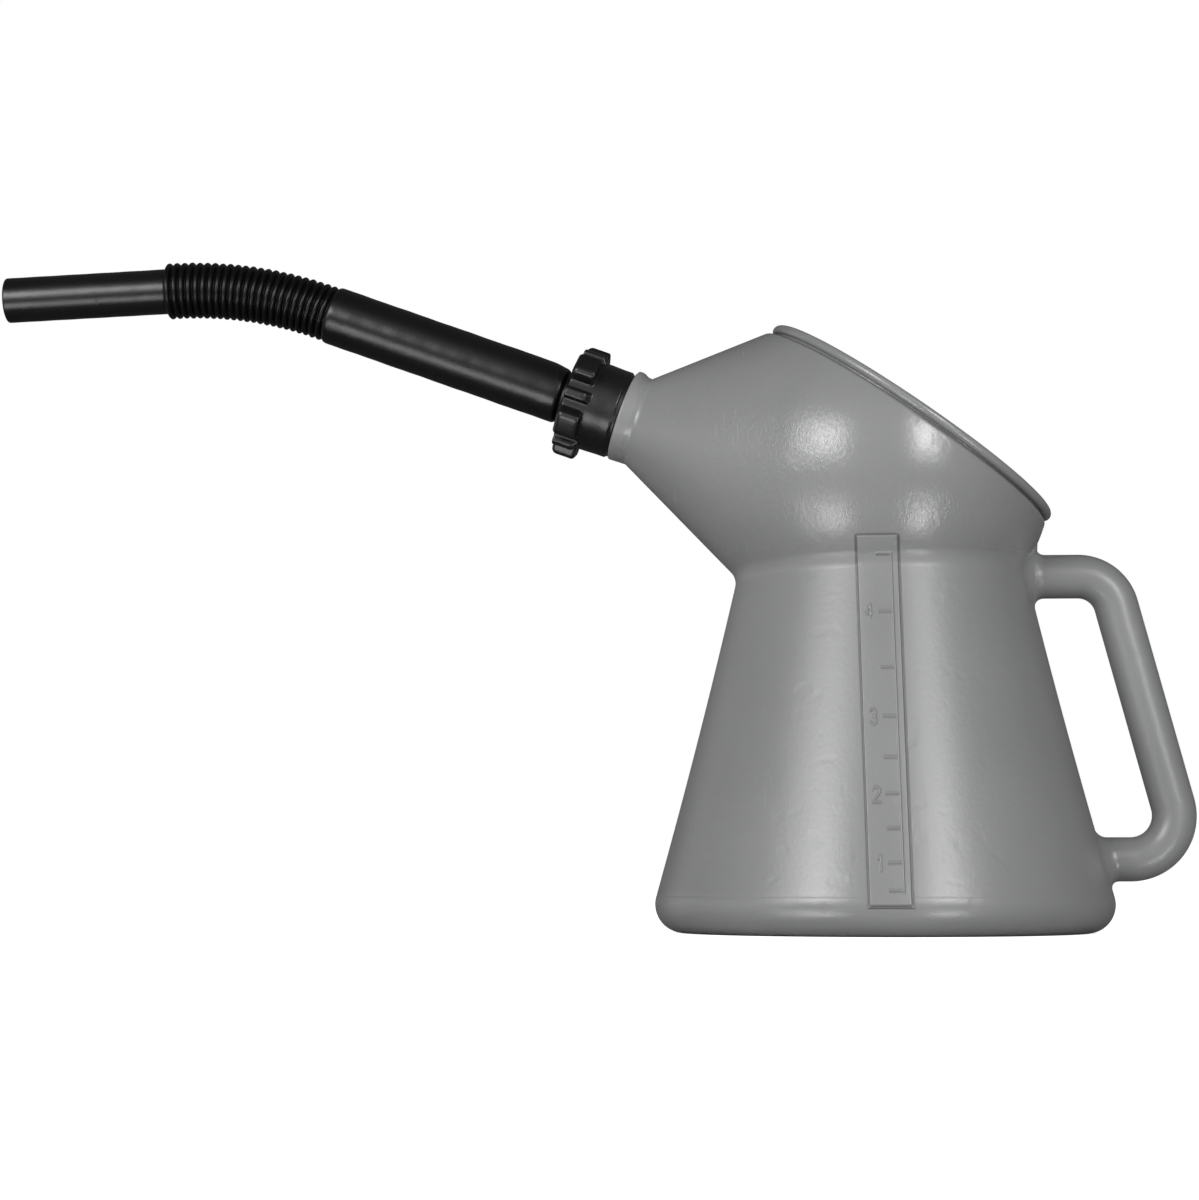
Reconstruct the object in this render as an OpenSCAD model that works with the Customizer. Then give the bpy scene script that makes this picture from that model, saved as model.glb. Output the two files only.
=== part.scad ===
// Oil pouring jug: a moulded measuring jug with a hollow handle and a screwed-on flexible spout.
// The base stands on the plane z = 0 and the round body's axis is the z axis.
// The handle points to +x and the spout to -x.

/* [Measuring body] */
// Wall of the moulded jug
wall = 2; // [1.4:0.1:2.8]
// Radius of the side wall where its line meets the base plane
base_r = 116; // [110:1:122]
// How much the radius shrinks for each millimetre of height
side_taper = 0.27; // [0.24:0.01:0.3]
// How much the side wall bows inwards, for each square millimetre of height
side_flare = 0.00006; // [0:0.00001:0.0001]
// Radius of the rounding between side and base
base_round = 14; // [8:1:20]
// Depth of the recess moulded up into the base
push_up = 4; // [2:0.5:8]
// Width of the ring that the jug stands on
foot_ring_w = 12; // [8:1:30]

/* [Dome and horn] */
// Radius of the dome above the waist
dome_r = 85.5; // [82:0.5:88]
// How far the dome's centre lies towards the spout
dome_shift = 1.2; // [0:0.1:3]
// Height of the dome's centre
dome_z = 226; // [222:1:230]
// Radius of the hollow moulding round the waist
waist_round = 17; // [14:1:20]

/* [Mouth] */
// Distance of the mouth's centre from the body's axis, towards the handle
mouth_x = 15.2; // [13:0.1:17]
// Height of the mouth's centre
mouth_z = 251.7; // [249:0.1:254]
// Tilt of the mouth's plane
mouth_tilt = 35; // [32:1:38]
// Outer radius of the rolled rim
rim_r = 82.9; // [81.5:0.1:84.5]
// Thickness of the rolled rim
rim_t = 4.4; // [3.6:0.1:5]
// Radius of the opening
mouth_r = 77.5; // [75:0.5:78]

/* [Neck] */
// Distance of the neck's root from the body's axis
neck_reach = 120.6; // [116:0.1:124]
// Height of the neck's root
neck_z = 254.3; // [252:0.1:257]
// Rise of the spout above the horizontal
spout_rise = 20; // [18:1:22]
// Radius of the neck's root
neck_root_r = 22.5; // [22:0.1:23]
// Radius of the collar that the nut stops against
collar_r = 23.5; // [23:0.1:25]
// Width of the collar
collar_w = 7.2; // [5:0.1:8]
// Outer radius of the threaded part of the neck
neck_r = 19.9; // [19:0.1:20.5]
// Length of the threaded part beyond the collar
neck_thread_l = 20; // [16:0.5:22]
// Radius of the passage through the neck
neck_bore_r = 17.2; // [16:0.1:18]

/* [Handle] */
// Radius of the hollow handle
handle_r = 10.8; // [9.5:0.1:12]
// Height of the upper arm's axis
handle_top_z = 174.8; // [172:0.1:178]
// Height of the lower arm's axis
handle_low_z = 35.9; // [33:0.1:40]
// Where the upper arm's axis would meet the grip's axis
handle_top_x = 111.1; // [108:0.1:116]
// Where the lower arm's axis would meet the grip's axis
handle_low_x = 148; // [142:0.1:152]
// Radius of the upper bend's axis
handle_top_bend = 19.4; // [16:0.1:22]
// Radius of the lower bend's axis
handle_low_bend = 21.5; // [18:0.1:24]
// Radius of the rounding where the arms meet the body
handle_fillet = 5; // [3:0.5:6]

/* [Scale strip] */
// Width of the raised strip that carries the litre scale
strip_w = 18.6; // [15:0.2:24]
// Height of the strip's lower end
strip_low_z = 15; // [14.5:0.5:20]
// Height of the strip's upper end
strip_top_z = 152; // [120:1:154]
// How far the strip leans towards the spout
strip_lean = 1.5; // [0:0.1:3]
// How far the strip stands out of the wall
strip_t = 0.4; // [0.3:0.1:1]

/* [Union nut] */
// Clearance between the neck's thread and the nut
thread_gap = 0.5; // [0.3:0.1:0.8]
// Length of the nut
nut_l = 26.8; // [25:0.1:27]
// Radius of the nut's plain skirt
nut_skirt_r = 22.3; // [21.8:0.1:23]
// Number of wide lobes
nut_lobes = 5; // [4:1:6]
// Radius over the corners of the lobes
nut_lobe_r = 29; // [27:0.5:32]
// Width of a lobe
nut_lobe_w = 14.2; // [10:0.1:16]
// Length of the lobes along the nut
nut_lobe_l = 12; // [9:0.5:15]
// Rounding of the lobes' front edge
nut_lobe_round = 3; // [1:0.5:4]
// Radius over the small ribs between the lobes
nut_rib_r = 25.4; // [24:0.1:26.5]
// Width of a small rib
nut_rib_w = 5.7; // [4:0.1:7]
// Thickness of the nut's end wall
nut_wall = 2.8; // [2:0.1:4]

/* [Seal] */
// Thickness of the sealing washer
seal_t = 2; // [1.5:0.1:3]
// Width of the washer's ring
seal_w = 5; // [3.5:0.1:6]
// Gap between the washer or flange and the nut's thread
flange_gap = 0.8; // [0.5:0.1:1.2]

/* [Spout tube] */
// Outer radius of the tube
tube_r = 14.65; // [14:0.05:16]
// Wall of the tube
tube_wall = 2; // [1.5:0.1:2.5]
// Length of the tube between its shoulders
tube_l = 125.5; // [110:0.5:140]
// Rounding of the tube's shoulders
tube_round = 3; // [1:0.5:4]
// Thickness of the flange that the nut holds
flange_t = 2.2; // [1.8:0.1:3]
// Radius of the short ring between flange and tube
ring_r = 12.5; // [11.5:0.1:13]
// Length of that ring showing in front of the nut
ring_l = 2.7; // [2:0.1:5]

/* [Corrugated hose] */
// Number of ribs
hose_ribs = 23; // [18:1:28]
// Distance from one rib to the next
hose_pitch = 3.78; // [3.2:0.02:4.4]
// Radius over the ribs
hose_r = 14.2; // [13.6:0.1:15]
// Radius in the valleys between the ribs
hose_valley_r = 11.9; // [11.7:0.1:12.2]
// Radius of the hose's bore
hose_bore_r = 10.9; // [10.6:0.1:11.2]
// Bend of the hose as it is set in the picture
hose_bend = 22.6; // [0:0.1:40]
// Ribs that stay straight at each end
hose_straight_ribs = 4; // [2:1:5]
// Length of the plain cuff pushed into the tube
hose_cuff_l = 14; // [10:1:20]
// Sides of the hose
hose_sides = 16; // [8:2:20]

/* [Outlet tube] */
// Outer radius of the outlet tube
outlet_r = 11.4; // [10.8:0.1:11.8]
// Wall of the outlet tube
outlet_wall = 2; // [1.5:0.1:2.5]
// Length of the outlet tube beyond the hose
outlet_l = 82; // [70:1:95]
// Length of the spigot inside the hose
spigot_l = 12; // [8:1:16]
// Radius of the thin collar at the hose
outlet_collar_r = 12.6; // [12:0.1:13.5]
// Thickness of the thin collar
outlet_collar_t = 1.4; // [1:0.1:2]

/* [Hidden] */
$fn = 96;
body_grey = [0.42, 0.43, 0.43];
spout_black = [0.06, 0.06, 0.065];
hose_black = [0.09, 0.09, 0.095];
seal_grey = [0.2, 0.2, 0.2];

// Play left between parts that turn on each other
turn_gap = 0.1;
// How far a cut or a joining piece runs past the face that it meets
over = 1;
// How far the neck's root runs back into the horn
neck_sink = 7;
// How much thinner a straight is than the bend or ball that it runs into
join_step = 0.05;

// Side wall
side_steps = 7;
side_lean = atan(side_taper);
corner_c = base_r - (base_round + base_round * sin(side_lean)) / cos(side_lean);
corner_top_z = base_round * (1 + sin(side_lean));
foot_in_r = corner_c - foot_ring_w;

// Waist: a hollow rounding that leaves the side wall and ends just under the dome's skin
waist_steps = 3;
waist_sink = 1.5;
waist_guess_z = dome_z - 55;
waist_lean = atan(side_taper - 2 * side_flare * waist_guess_z);
waist_reach = dome_r - waist_sink + waist_round;
waist_a = base_r - side_taper * waist_guess_z + side_flare * waist_guess_z * waist_guess_z
    + waist_round / cos(waist_lean) + dome_shift - tan(waist_lean) * (dome_z - waist_guess_z);
waist_b = 1 + tan(waist_lean) * tan(waist_lean);
waist_drop = (sqrt(waist_b * waist_reach * waist_reach - waist_a * waist_a) - waist_a * tan(waist_lean))
    / waist_b;
waist_c = [waist_a + tan(waist_lean) * waist_drop - dome_shift, dome_z - waist_drop];
waist_from = 180 + waist_lean;
waist_to = 180 - atan(waist_drop / (waist_c.x + dome_shift));
waist_low_z = waist_c.y - waist_round * sin(waist_lean);

// Horn: a cone round the line from the dome's centre to the neck's root, touching the dome
horn_l = norm([neck_reach - dome_shift, neck_z - dome_z]);
horn_rise = atan2(neck_z - dome_z, neck_reach - dome_shift);
function horn_angle(dome, small) = asin(dome / norm([horn_l, small])) - atan(small / horn_l);

// Places along the spout, measured from the neck's root
collar_end = 10;
neck_end = collar_end + neck_thread_l;
flange_s = neck_end + seal_t;
nut_wall_s = flange_s + flange_t + turn_gap;
nut_end = nut_wall_s + nut_wall;
nut_start = nut_end - nut_l;
tube_s = nut_end + ring_l;
hose_s = tube_s + tube_l;
flange_r = neck_r + thread_gap - flange_gap;
seal_in_r = flange_r - seal_w;
tube_bore_r = tube_r - tube_wall;
ring_bore_r = ring_r - tube_wall;

// Hose: straight at both ends, an even bend between
hose_l = hose_ribs * hose_pitch;
hose_straight = hose_straight_ribs * hose_pitch;
hose_arc_l = hose_l - 2 * hose_straight;
hose_bend_rad = max(hose_bend, 0.01) * PI / 180;
hose_bend_r = hose_arc_l / hose_bend_rad;
hose_cuff_r = tube_bore_r - 0.2;
spigot_r = hose_bore_r * cos(180 / hose_sides) - turn_gap;

// Handle
grip_lean = atan2(handle_low_x - handle_top_x, handle_top_z - handle_low_z);
handle_bore_r = handle_r - wall;

// Radius of the side wall at height z, drawn in by o
function side_r(z, o) = base_r - side_taper * z + side_flare * z * z - o / cos(side_lean);

// Half section of the measuring body, drawn in by o, up to where it passes into the dome
function body_section(o) = concat(
    [[0, push_up + o], [foot_in_r - push_up, push_up + o], [foot_in_r + push_up, o]],
    [for (a = [-90:15:0]) [corner_c, base_round] + (base_round - o) * [cos(a), sin(a)]],
    [for (i = [0:side_steps])
        let (z = corner_top_z + (waist_low_z - corner_top_z) * i / side_steps) [side_r(z, o), z]],
    [for (i = [1:waist_steps])
        let (a = waist_from + (waist_to - waist_from) * i / waist_steps)
        waist_c + (waist_round + o) * [cos(a), sin(a)]],
    [[0, waist_c.y + (waist_round + o) * sin(waist_to)]]
);

// The path of the hose's middle from the tube's end, as a heading and a point
function hose_heading(t) = hose_bend * min(max((t - hose_straight) / hose_arc_l, 0), 1);
function hose_path(t) =
    let (h = hose_heading(t), past = max(t - hose_straight - hose_arc_l, 0))
    [-hose_bend_r * (1 - cos(h)) - past * sin(h), 0,
     min(t, hose_straight) + hose_bend_r * sin(h) + past * cos(h)];
function hose_point(t, r, a) =
    let (h = hose_heading(t)) hose_path(t) + r * [cos(a) * cos(h), sin(a), cos(a) * sin(h)];

// Stations of the hose's skin, as distance and radius: out along the ribs and back along the bore
hose_stations = concat(
    [[-hose_cuff_l, hose_cuff_r], [-turn_gap, hose_cuff_r]],
    [for (i = [0:hose_ribs - 1]) each [
        [i * hose_pitch, hose_valley_r], [(i + 0.5) * hose_pitch, hose_r]]],
    [[hose_l, hose_valley_r]],
    [for (i = [hose_ribs:-2:0]) [i * hose_pitch, hose_bore_r]],
    [[-hose_cuff_l, hose_bore_r]]
);

module along_spout(s) {
    translate([-neck_reach, 0, neck_z])
        rotate([0, spout_rise - 90, 0])
            translate([0, 0, s])
                children();
}

module along_horn() {
    translate([-dome_shift, 0, dome_z])
        rotate([0, horn_rise - 90, 0])
            children();
}

module at_mouth() {
    translate([mouth_x, 0, mouth_z])
        rotate([0, mouth_tilt, 0])
            children();
}

module at_outlet() {
    along_spout(hose_s)
        translate(hose_path(hose_l))
            rotate([0, -hose_bend, 0])
                children();
}

// A straight of the handle's tube from one point of the x-z plane to another, its ends inside the bends
module tube_between(a, b, r) {
    translate([a.x, 0, a.y])
        rotate([0, atan2(b.x - a.x, b.y - a.y), 0])
            translate([0, 0, -over])
                cylinder(r = r - join_step, h = norm(b - a) + 2 * over);
}

// A bend of the handle's tube in the x-z plane
module tube_bend(centre, bend, r, from, turn) {
    translate([centre.x, 0, centre.y])
        rotate([90, 0, 0])
            rotate([0, 0, from])
                rotate_extrude(angle = turn)
                    translate([bend, 0])
                        circle(r = r);
}

// The handle's tube with radius r, running a little way into the body
module handle_tube(r) {
    out = [cos(grip_lean), sin(grip_lean)];
    top_turn = 90 - grip_lean;
    low_turn = 90 + grip_lean;
    top_c = [handle_top_x - handle_top_bend * tan(top_turn / 2), handle_top_z - handle_top_bend];
    low_c = [handle_low_x - handle_low_bend * tan(low_turn / 2), handle_low_z + handle_low_bend];
    tube_between([side_r(handle_top_z, 3 * wall), handle_top_z], [top_c.x, handle_top_z], r);
    tube_bend(top_c, handle_top_bend, r, grip_lean, top_turn);
    tube_between(low_c + handle_low_bend * out, top_c + handle_top_bend * out, r);
    tube_bend(low_c, handle_low_bend, r, -90, low_turn);
    tube_between([side_r(handle_low_z, 6 * wall), handle_low_z], [low_c.x, handle_low_z], r);
}

// A trumpet-shaped root where an arm of the handle grows out of the body
module handle_root(x, z) {
    translate([x, 0, z])
        rotate([0, 90, 0])
            rotate_extrude()
                difference() {
                    square([handle_r + handle_fillet, handle_fillet]);
                    translate([handle_r + handle_fillet, handle_fillet])
                        circle(r = handle_fillet);
                }
}

// Half section of the dome with its horn, drawn in by o
module dome_section(o) {
    big = dome_r - o;
    small = neck_root_r - o;
    touch = horn_angle(big, small);
    touch_z = big * sin(touch);
    intersection() {
        circle(r = big);
        translate([0, -big])
            square([big, big + touch_z]);
    }
    polygon([[0, touch_z - over], [big * cos(touch) + over * tan(touch) - join_step, touch_z - over],
        [small - join_step, horn_l], [0, horn_l]]);
}

// The round shapes of the jug, drawn in by o
module jug_rounds(o) {
    rotate_extrude()
        polygon(body_section(o));
    along_horn()
        rotate_extrude()
            dome_section(o);
}

// Everything above the mouth's plane, raised by h
module above_mouth(h) {
    at_mouth()
        translate([-2 * rim_r, -2 * rim_r, h])
            cube([4 * rim_r, 4 * rim_r, 2 * rim_r]);
}

// A shallow pad on the side wall, lying in a slab that leans with the strip
module scale_strip() {
    heights = [for (i = [0:side_steps]) strip_low_z + (strip_top_z - strip_low_z) * i / side_steps];
    intersection() {
        rotate_extrude()
            polygon(concat(
                [for (z = heights) [side_r(z, -strip_t), z]],
                [for (i = [side_steps:-1:0]) [side_r(heights[i], over), heights[i]]]
            ));
        rotate([0, -strip_lean, 0])
            translate([-strip_w / 2, -2 * base_r, -over])
                cube([strip_w, 2 * base_r, 2 * strip_top_z]);
    }
}

module jug_outside() {
    difference() {
        jug_rounds(0);
        above_mouth(0);
    }
    at_mouth()
        rotate_extrude() {
            translate([mouth_r, -rim_t / 2])
                square([rim_r - rim_t / 2 - mouth_r, rim_t]);
            translate([rim_r - rim_t / 2, 0])
                circle(r = rim_t / 2);
        }
    along_spout(-neck_sink)
        cylinder(r = neck_root_r, h = neck_sink + collar_end);
    along_spout(collar_end - collar_w)
        cylinder(r = collar_r, h = collar_w);
    along_spout(0)
        cylinder(r = neck_r, h = neck_end);
    scale_strip();
    handle_tube(handle_r);
    handle_root(side_r(handle_top_z, 0), handle_top_z);
    handle_root(side_r(handle_low_z, 0), handle_low_z);
}

module jug_inside() {
    difference() {
        jug_rounds(wall);
        above_mouth(-rim_t / 2);
    }
    at_mouth()
        translate([0, 0, -rim_t])
            cylinder(r = mouth_r, h = 2 * rim_t);
    along_spout(-4 * over)
        cylinder(r = neck_bore_r, h = 5 * over + neck_end);
    handle_tube(handle_bore_r);
}

module jug_body() {
    color(body_grey)
        difference() {
            jug_outside();
            jug_inside();
        }
}

module neck_seal() {
    color(seal_grey)
        along_spout(neck_end)
            difference() {
                cylinder(r = flange_r, h = seal_t);
                translate([0, 0, -over])
                    cylinder(r = seal_in_r, h = seal_t + 2 * over);
            }
}

// Outline of the nut's lobed end, with one rib facing the side of the jug that carries the scale
module nut_star() {
    circle(r = nut_skirt_r);
    intersection() {
        circle(r = nut_lobe_r);
        for (i = [0:nut_lobes - 1])
            rotate(180 / nut_lobes - 90 + i * 360 / nut_lobes)
                translate([0, -nut_lobe_w / 2])
                    square([nut_lobe_r * cos(asin(nut_lobe_w / 2 / nut_lobe_r)), nut_lobe_w]);
    }
    for (i = [0:nut_lobes - 1])
        rotate(i * 360 / nut_lobes - 90)
            translate([0, -nut_rib_w / 2])
                square([nut_rib_r, nut_rib_w]);
}

module union_nut() {
    color(spout_black)
        difference() {
            along_spout(nut_start)
                union() {
                    cylinder(r = nut_skirt_r, h = nut_l - over);
                    intersection() {
                        translate([0, 0, nut_l - nut_lobe_l])
                            linear_extrude(nut_lobe_l)
                                nut_star();
                        rotate_extrude() {
                            square([nut_lobe_r + over, nut_l - nut_lobe_round]);
                            square([nut_lobe_r - nut_lobe_round, nut_l]);
                            translate([nut_lobe_r - nut_lobe_round, nut_l - nut_lobe_round])
                                circle(r = nut_lobe_round);
                        }
                    }
                }
            along_spout(nut_start - over)
                cylinder(r = neck_r + thread_gap, h = nut_wall_s - nut_start + over);
            along_spout(nut_start)
                cylinder(r = ring_r + 3 * turn_gap, h = nut_l + over);
        }
}

module spout_tube() {
    color(spout_black)
        along_spout(0)
            rotate_extrude()
                difference() {
                    union() {
                        translate([0, flange_s])
                            square([flange_r, flange_t]);
                        translate([0, flange_s])
                            square([ring_r, tube_s + 2 * tube_round - flange_s]);
                        translate([0, tube_s])
                            square([tube_r - tube_round, tube_l]);
                        translate([0, tube_s + tube_round])
                            square([tube_r, tube_l - 2 * tube_round]);
                        for (s = [tube_s + tube_round, hose_s - tube_round])
                            translate([tube_r - tube_round, s])
                                circle(r = tube_round);
                    }
                    translate([0, flange_s - over])
                        square([ring_bore_r, tube_s - flange_s + tube_round + 2 * over]);
                    translate([0, tube_s + tube_round])
                        square([tube_bore_r, tube_l]);
                }
}

module spout_hose() {
    n = hose_sides;
    m = len(hose_stations);
    skin = [for (q = hose_stations) for (k = [0:n - 1]) hose_point(q[0], q[1], 360 * (k + 0.5) / n)];
    faces = [for (i = [0:m - 1]) for (k = [0:n - 1])
        let (a = i * n + k, b = i * n + (k + 1) % n,
             c = ((i + 1) % m) * n + (k + 1) % n, d = ((i + 1) % m) * n + k)
        each [[a, c, b], [a, d, c]]];
    color(hose_black)
        along_spout(hose_s)
            polyhedron(points = skin, faces = faces, convexity = 6);
}

module outlet_tube() {
    color(spout_black)
        at_outlet()
            rotate_extrude()
                difference() {
                    union() {
                        translate([0, -spigot_l])
                            square([spigot_r, spigot_l + over]);
                        square([outlet_collar_r, outlet_collar_t]);
                        square([outlet_r, outlet_l - over]);
                        square([outlet_r - over, outlet_l]);
                        translate([outlet_r - over, outlet_l - over])
                            circle(r = over);
                    }
                    translate([0, -spigot_l - over])
                        square([outlet_r - outlet_wall, outlet_l + spigot_l + 2 * over]);
                }
}

// Least distance between the crests of neighbouring ribs, on the inside of the bend
crest_gaps = [for (i = [0:hose_ribs - 2]) for (k = [0:hose_sides - 1])
    norm(hose_point((i + 0.5) * hose_pitch, hose_r, 360 * (k + 0.5) / hose_sides)
        - hose_point((i + 1.5) * hose_pitch, hose_r, 360 * (k + 0.5) / hose_sides))];
echo(least_gap_between_ribs = min(crest_gaps));

jug_body();
neck_seal();
union_nut();
spout_tube();
spout_hose();
outlet_tube();
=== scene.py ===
import math

import bpy
import numpy as np
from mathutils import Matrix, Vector


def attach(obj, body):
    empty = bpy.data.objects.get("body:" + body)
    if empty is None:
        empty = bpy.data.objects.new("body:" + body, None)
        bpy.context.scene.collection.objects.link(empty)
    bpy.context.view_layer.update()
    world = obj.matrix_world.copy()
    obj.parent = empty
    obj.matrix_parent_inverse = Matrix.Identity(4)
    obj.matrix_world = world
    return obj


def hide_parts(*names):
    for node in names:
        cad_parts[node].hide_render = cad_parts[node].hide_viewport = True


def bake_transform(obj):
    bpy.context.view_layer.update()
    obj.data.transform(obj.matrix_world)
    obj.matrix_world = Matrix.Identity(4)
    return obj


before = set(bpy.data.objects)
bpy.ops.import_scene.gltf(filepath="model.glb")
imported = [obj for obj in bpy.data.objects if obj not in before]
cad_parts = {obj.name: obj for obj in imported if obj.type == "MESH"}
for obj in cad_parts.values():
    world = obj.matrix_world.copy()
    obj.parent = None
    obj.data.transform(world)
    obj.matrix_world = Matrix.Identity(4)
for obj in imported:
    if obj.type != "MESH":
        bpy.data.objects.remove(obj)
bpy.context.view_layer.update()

# Lengths below are millimetres, in the frame of the CAD; put() makes them metres.
WALL = 2
FOOT_CORNER, FOOT_RISE, MOULD_LINE = 14, 4, 18.4
DOME_CENTRE, DOME_R, WAIST_R = np.array([-1.2, 0, 226.0]), 85.5, 3.5
HORN_TILT, HORN_TOUCH = math.radians(12.7), math.radians(56.6)
HORN_AXIS = np.array([-math.cos(HORN_TILT), 0, math.sin(HORN_TILT)])

MOUTH_CENTRE, MOUTH_TILT, MOUTH_SAG = np.array([15.2, 0, 251.7]), math.radians(35), 0.9
MOUTH_UP = np.array([math.sin(MOUTH_TILT), 0, math.cos(MOUTH_TILT)])
MOUTH_OUT = np.array([math.cos(MOUTH_TILT), 0, -math.sin(MOUTH_TILT)])
RIM_LINE, RIM_ROLL, UNDER_RIM = 80.7, 2.25, (80.9, -2.6)

# The spout's line starts at the neck's root. Its stations are distances from there.
NECK_ROOT, SPOUT_TILT = np.array([-120.6, 0, 254.3]), math.radians(20)
SPOUT = np.array([-math.cos(SPOUT_TILT), 0, math.sin(SPOUT_TILT)])
SPOUT_UP = np.array([math.sin(SPOUT_TILT), 0, math.cos(SPOUT_TILT)])
ACROSS = np.array([0, 1.0, 0])
COLLAR_END, NECK_END, NUT_END, TUBE_START, HOSE_START = 8.3, 30, 37.1, 39.8, 166.5
NECK_R, NECK_BORE_R, THREAD_ROOT_R, THREAD_PITCH = 22.4, 17.2, 18.85, 4
NUT_BORE_R, NUT_LOBES = 20.4, 5
TUBE_R, TUBE_BORE_R, RING_BORE_R = 14.65, 12.65, 10.5
HOSE_PITCH, HOSE_RIBS, HOSE_STRAIGHT_RIBS, HOSE_BEND = 3.71, 23, 1, math.radians(22.35)
HOSE_LENGTH = HOSE_RIBS * HOSE_PITCH
VALLEY_R, RIB_RISE, HOSE_BORE_R = 11.9, 2.3, 10.9
OUTLET_R, OUTLET_BORE_R = 11.4, 9.4

HANDLE_R, HANDLE_START, HANDLE_FINISH = 10.8, 55, 92
HANDLE_TOP, HANDLE_LOW = np.array([111.1, 174.8]), np.array([148, 35.9])
TOP_BEND, LOW_BEND = 19.4, 21.5
TOP_FILLET, LOW_FILLET, SIDE_FILLET = 5.6, 4.6, 2.8

# The scale: half the plate's width, its ends and the border round it. Then the tops of the ticks from 4.5 litres
# down, and each number with its place across and up, width and height.
PLATE_HALF, PLATE_LOW, PLATE_HIGH, BORDER = 9.0, 15.2, 187.4, 1.75
TICK_TOPS = (180.4, 152.7, 126.0, 102.8, 83.6, 66.6, 50.6, 34.8, 22.0)
NUMBERS = ((4, -5.0, 152.3, 3.2, 6.2), (3, -5.0, 101.9, 3.5, 7.2),
           (2, -4.8, 65.5, 4.0, 7.2), (1, -4.1, 34.0, 2.6, 7.0))
MARK_SOFT = 0.34


# ---------------------------------------------------------------- mesh helpers

def put(name, points, quads, triangles=()):
    """Makes a smooth mesh object at the origin from points in millimetres and rows of corner numbers."""
    mesh = bpy.data.meshes.new(name)
    points = np.asarray(points, float) * 0.001
    quads = np.asarray(quads, np.int32).reshape(-1, 4)
    triangles = np.asarray(triangles, np.int32).reshape(-1, 3)
    mesh.vertices.add(len(points))
    mesh.vertices.foreach_set("co", points.astype(np.float32).ravel())
    mesh.loops.add(quads.size + triangles.size)
    mesh.loops.foreach_set("vertex_index", np.concatenate([quads.ravel(), triangles.ravel()]))
    sizes = np.concatenate([np.full(len(quads), 4), np.full(len(triangles), 3)])
    mesh.polygons.add(len(sizes))
    mesh.polygons.foreach_set("loop_start", np.concatenate([[0], np.cumsum(sizes)[:-1]]).astype(np.int32))
    mesh.polygons.foreach_set("use_smooth", np.ones(len(sizes), bool))
    mesh.update(calc_edges=True)
    mesh.validate()
    piece = bpy.data.objects.new(name, mesh)
    bpy.context.scene.collection.objects.link(piece)
    return piece


def around(count):
    """Even angles of one full turn."""
    return np.arange(count) * 2 * math.pi / count


def corner_numbers(rows, columns, first=0):
    """Table of a grid's corner numbers, row by row."""
    return first + np.arange(rows * columns).reshape(rows, columns)


def grid_quads(index, closed=True):
    """Quads between neighbouring rows and columns of a table of corner numbers.
    Closed joins the last column to the first."""
    right = np.roll(index, -1, axis=1)
    quads = np.stack([index[:-1], right[:-1], right[1:], index[1:]], axis=-1)
    return (quads if closed else quads[:, :-1]).reshape(-1, 4)


def cap(ring, centre, flip=False):
    """Triangles from a ring of corners to one centre corner."""
    after = np.roll(ring, -1)
    middle = np.full(len(ring), centre)
    return np.stack([after, ring, middle] if flip else [ring, after, middle], axis=-1)


def wheel(name, points):
    """A skin whose rows are rings round a line: the last row joins the first, so the wall is closed."""
    index = corner_numbers(*points.shape[:2])
    return put(name, points.reshape(-1, 3), grid_quads(np.vstack([index, index[:1]])))


def smooth_step(x):
    """0 below 0, 1 above 1, and 3x squared less 2x cubed between."""
    x = np.clip(x, 0, 1)
    return x * x * (3 - 2 * x)


def round_join(a, b, r):
    """Distance to two bodies together, with a hollow rounding of radius r where they meet."""
    return np.maximum(r, np.minimum(a, b)) - np.hypot(np.maximum(r - a, 0), np.maximum(r - b, 0))


def round_both(a, b, r):
    """Distance to what two bodies share, with its edge rounded to radius r."""
    return np.minimum(-r, np.maximum(a, b)) + np.hypot(np.maximum(a + r, 0), np.maximum(b + r, 0))


def meet(start, direction, low, high, distance, steps=34):
    """Halves the stretch between low and high on every line until distance changes sign there."""
    start, direction = np.broadcast_arrays(start, direction)
    low, high = [np.broadcast_to(limit, start.shape[:-1]).astype(float) for limit in (low, high)]
    for _ in range(steps):
        middle = (low + high) / 2
        outside = distance(start + direction * middle[..., None]) > 0
        low, high = np.where(outside, low, middle), np.where(outside, middle, high)
    return start + direction * ((low + high) / 2)[..., None]


def unit(v):
    """Vectors of length 1."""
    return v / np.linalg.norm(v, axis=-1, keepdims=True)


def round_spout(s, r, angle, lift=0.0):
    """Point at distance s along the spout's line and r from it; angle 0 is up and turns towards +y."""
    s, r, angle = np.broadcast_arrays(np.asarray(s, float), r, angle)
    return (NECK_ROOT + s[..., None] * SPOUT + (r * np.cos(angle) + lift)[..., None] * SPOUT_UP
            + (r * np.sin(angle))[..., None] * ACROSS)


# ---------------------------------------------------------------- jug

def side_radius(z):
    """Radius of the measuring body: 116.9, less 0.288 for each unit of height, with a slight hollow bow."""
    return 116.9 - 0.288 * z + 0.00016 * z * z


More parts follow.
